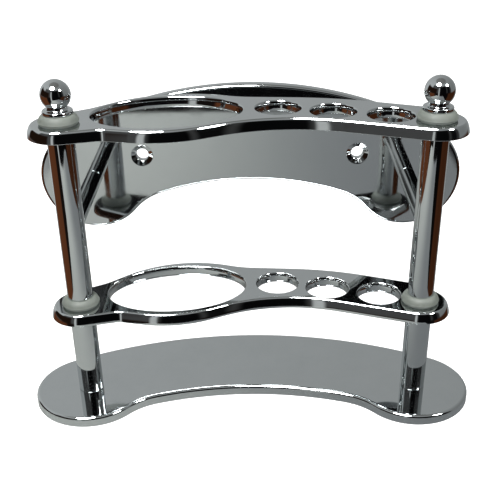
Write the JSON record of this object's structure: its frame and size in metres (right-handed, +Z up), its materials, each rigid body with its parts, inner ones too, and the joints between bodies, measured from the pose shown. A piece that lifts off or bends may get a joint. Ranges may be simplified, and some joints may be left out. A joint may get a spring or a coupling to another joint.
{
  "type": "shaving stand",
  "caption": "Two-tier chrome shaving stand: two posts carry a pair of wavy shelves with an oval and round openings over a kidney base plate, tied to a matching wall plate.",
  "frame": {"origin": "middle of the footprint, on the underside of the base plate", "axes": "+Z up along the posts, +Y towards the wall plate, +X from the bowl opening to the cup holes"},
  "size_m": [0.214, 0.0924, 0.1595],
  "materials": {
    "polished_chrome": "bright chrome plate, mirror polished",
    "chrome_tube": "bright chrome plate on drawn tube and bar",
    "frosted_plastic": "frosted translucent moulding",
    "nylon": "natural nylon moulding",
    "zinc_steel": "zinc plated steel",
    "brass": "turned brass"
  },
  "bodies": {
    "stand": {"base_plate": "polished_chrome", "wall_plate": "polished_chrome", "lower_shelf": "polished_chrome", "upper_shelf": "polished_chrome", "left_lower_tube": "chrome_tube", "left_upper_tube": "chrome_tube", "left_wall_arm": "chrome_tube", "left_lower_washer": "frosted_plastic", "left_upper_washer": "frosted_plastic", "left_lower_tube_bushes": "nylon", "left_upper_tube_bushes": "nylon", "left_tie_rod": "zinc_steel", "left_base_nut": "zinc_steel", "left_lock_washer": "zinc_steel", "left_arm_screw": "zinc_steel", "right_lower_tube": "chrome_tube", "right_upper_tube": "chrome_tube", "right_wall_arm": "chrome_tube", "right_lower_washer": "frosted_plastic", "right_upper_washer": "frosted_plastic", "right_lower_tube_bushes": "nylon", "right_upper_tube_bushes": "nylon", "right_tie_rod": "zinc_steel", "right_base_nut": "zinc_steel", "right_lock_washer": "zinc_steel", "right_arm_screw": "zinc_steel"},
    "left_insert": {"left_finial_insert": "brass"},
    "left_ball": {"left_finial": "polished_chrome"},
    "right_insert": {"right_finial_insert": "brass"},
    "right_ball": {"right_finial": "polished_chrome"}
  },
  "joints": [
    {"name": "left_finial_rise", "type": "slide", "parent": "stand", "child": "left_insert", "axis": [0, 0, 1], "range_m": [0, 0.0072]},
    {"name": "left_finial_turn", "type": "hinge", "parent": "left_insert", "child": "left_ball", "pos_m": [-0.08, -0.0192, 0.15], "axis": [0, 0, 1], "range_deg": [0, 3240]},
    {"name": "right_finial_rise", "type": "slide", "parent": "stand", "child": "right_insert", "axis": [0, 0, 1], "range_m": [0, 0.0072]},
    {"name": "right_finial_turn", "type": "hinge", "parent": "right_insert", "child": "right_ball", "pos_m": [0.08, -0.0192, 0.15], "axis": [0, 0, 1], "range_deg": [0, 3240]}
  ],
  "couplings": [
    {"joint": "left_finial_rise", "follows": "left_finial_turn", "m_per_rad": 0.00012732},
    {"joint": "right_finial_rise", "follows": "right_finial_turn", "m_per_rad": 0.00012732}
  ]
}
